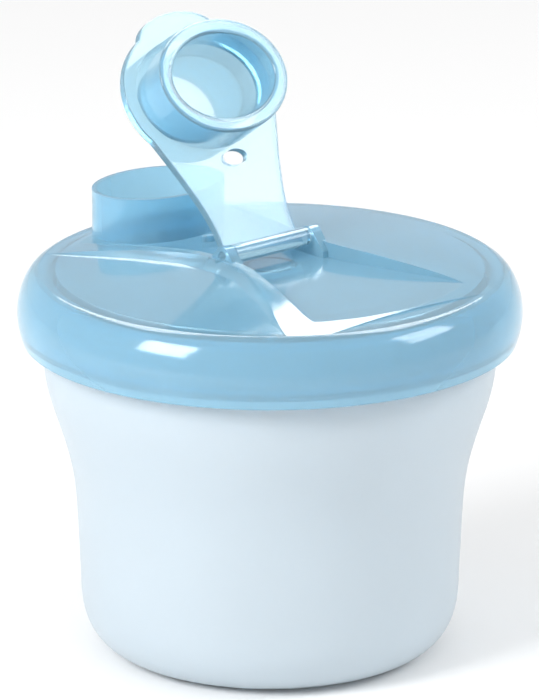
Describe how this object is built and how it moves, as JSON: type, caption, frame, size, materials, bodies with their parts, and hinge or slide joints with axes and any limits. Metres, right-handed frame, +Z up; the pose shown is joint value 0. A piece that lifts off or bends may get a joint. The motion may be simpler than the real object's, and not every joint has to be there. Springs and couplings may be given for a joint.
{
  "type": "formula dispenser",
  "caption": "Round lidded cup for milk powder with a three-vane divider, a turning lid with an oval pouring spout, and a hinged cap that plugs the spout.",
  "frame": {"origin": "centre of the cup's base, on the surface it stands on", "axes": "+Z up, -Y towards the front, +X to the right; the spout points to 131 degrees from +X at rest"},
  "size_m": [0.107, 0.107, 0.1332],
  "materials": {
    "cup_plastic": "milky translucent moulded polypropylene, satin",
    "divider_plastic": "milky translucent moulded polypropylene, satin",
    "lid_plastic": "translucent sky blue moulded polypropylene, glossy",
    "cap_plastic": "translucent sky blue moulded polypropylene, glossy"
  },
  "bodies": {
    "cup": {"cup": "cup_plastic"},
    "divider": {"divider": "divider_plastic"},
    "lid": {"lid": "lid_plastic"},
    "flip_cap": {"flip_cap": "cap_plastic"}
  },
  "joints": [
    {"name": "divider_lift", "type": "slide", "parent": "cup", "child": "divider", "axis": [0, 0, 1], "range_m": [0, 0.08]},
    {"name": "lid_turn", "type": "hinge", "parent": "divider", "child": "lid", "pos_m": [0, 0, 0.08], "axis": [0, 0, 1], "continuous": true},
    {"name": "cap_flip", "type": "hinge", "parent": "lid", "child": "flip_cap", "pos_m": [-0.0002, 0.00023, 0.0884], "axis": [0.7547, 0.6561, 0], "range_deg": [-56, 94]}
  ]
}
